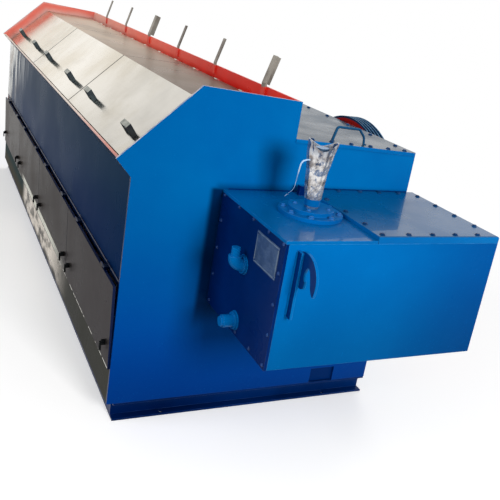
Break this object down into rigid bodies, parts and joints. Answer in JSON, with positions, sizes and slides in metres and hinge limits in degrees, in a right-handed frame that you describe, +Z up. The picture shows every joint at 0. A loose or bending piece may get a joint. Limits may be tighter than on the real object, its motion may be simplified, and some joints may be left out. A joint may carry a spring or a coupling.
{
  "type": "wire drawing machine",
  "caption": "Long wet wire drawing tank with folded hood lids and flap doors, a gear case behind it and an exit gearbox with an upright shaft.",
  "frame": {"origin": "middle of the base frame's underside, on the floor", "axes": "+X across the machine from the operator's side to the gear case, +Y along it from the exit end, +Z up"},
  "size_m": [1.483, 4.6167, 1.566],
  "materials": {
    "blue_paint": "glossy enamel",
    "dark_blue_paint": "glossy enamel, in shade",
    "red_paint": "satin enamel",
    "stainless": "polished sheet",
    "bare_steel": "machined",
    "pulley_iron": "dark, machined grooves",
    "dark_handle": "matte",
    "nameplate": "plain plate",
    "foil": "crinkled wrapping"
  },
  "bodies": {
    "machine": {"base_frame": "dark_blue_paint", "near_end_plate": "blue_paint", "far_end_plate": "blue_paint", "tank_front_wall": "stainless", "rim_strip": "red_paint", "tank_floor": "stainless", "tank_back_wall": "red_paint", "gear_case": "blue_paint", "gear_case_cover": "blue_paint", "gear_case_hoop": "blue_paint", "lid_hinge_brackets": "red_paint", "lid_rest_bars": "bare_steel", "door_frame": "dark_blue_paint", "kick_panel": "stainless", "door_hinge_brackets": "bare_steel", "capstans": "bare_steel", "die_holders": "bare_steel", "exit_gearbox": "blue_paint", "exit_side_cover": "blue_paint", "exit_top_cover_left": "blue_paint", "exit_top_cover_right": "blue_paint", "shaft_flange": "blue_paint", "nameplate": "nameplate", "pipe_elbow": "blue_paint", "pipe_stub": "blue_paint", "lifting_hook": "blue_paint"},
    "hood_lid_1": {"lid_1": "stainless", "lid_handles_1": "dark_handle"},
    "hood_lid_2": {"lid_2": "stainless", "lid_handles_2": "dark_handle"},
    "hood_lid_3": {"lid_3": "stainless", "lid_handles_3": "dark_handle"},
    "flap_door_1": {"lower_door_1": "stainless", "door_latches_1": "dark_handle"},
    "flap_door_2": {"lower_door_2": "stainless", "door_latches_2": "dark_handle"},
    "flap_door_3": {"lower_door_3": "stainless", "door_latches_3": "dark_handle"},
    "flap_door_4": {"lower_door_4": "stainless", "door_latches_4": "dark_handle"},
    "pulley": {"drive_pulley_rim": "pulley_iron", "drive_pulley_web": "red_paint", "input_shaft": "bare_steel"},
    "exit_shaft": {"output_shaft": "bare_steel", "shaft_wrap": "foil"}
  },
  "joints": [
    {"name": "lid_1_hinge", "type": "hinge", "parent": "machine", "child": "hood_lid_1", "pos_m": [-0.035, -1.29, 1.366], "axis": [0, 1, 0], "range_deg": [0, 102]},
    {"name": "lid_2_hinge", "type": "hinge", "parent": "machine", "child": "hood_lid_2", "pos_m": [-0.035, 0, 1.366], "axis": [0, 1, 0], "range_deg": [0, 102]},
    {"name": "lid_3_hinge", "type": "hinge", "parent": "machine", "child": "hood_lid_3", "pos_m": [-0.035, 1.29, 1.366], "axis": [0, 1, 0], "range_deg": [0, 102]},
    {"name": "door_1_hinge", "type": "hinge", "parent": "machine", "child": "flap_door_1", "pos_m": [-0.679, -1.4535, 0.629], "axis": [0, 1, 0], "range_deg": [0, 95]},
    {"name": "door_2_hinge", "type": "hinge", "parent": "machine", "child": "flap_door_2", "pos_m": [-0.679, -0.4845, 0.629], "axis": [0, 1, 0], "range_deg": [0, 95]},
    {"name": "door_3_hinge", "type": "hinge", "parent": "machine", "child": "flap_door_3", "pos_m": [-0.679, 0.4845, 0.629], "axis": [0, 1, 0], "range_deg": [0, 95]},
    {"name": "door_4_hinge", "type": "hinge", "parent": "machine", "child": "flap_door_4", "pos_m": [-0.679, 1.4535, 0.629], "axis": [0, 1, 0], "range_deg": [0, 95]},
    {"name": "pulley_spin", "type": "hinge", "parent": "machine", "child": "pulley", "pos_m": [0.68, -1.314, 0.826], "axis": [1, 0, 0], "continuous": true},
    {"name": "exit_shaft_spin", "type": "hinge", "parent": "machine", "child": "exit_shaft", "pos_m": [-0.035, -2.2385, 1.1], "axis": [0, 0, 1], "continuous": true}
  ]
}
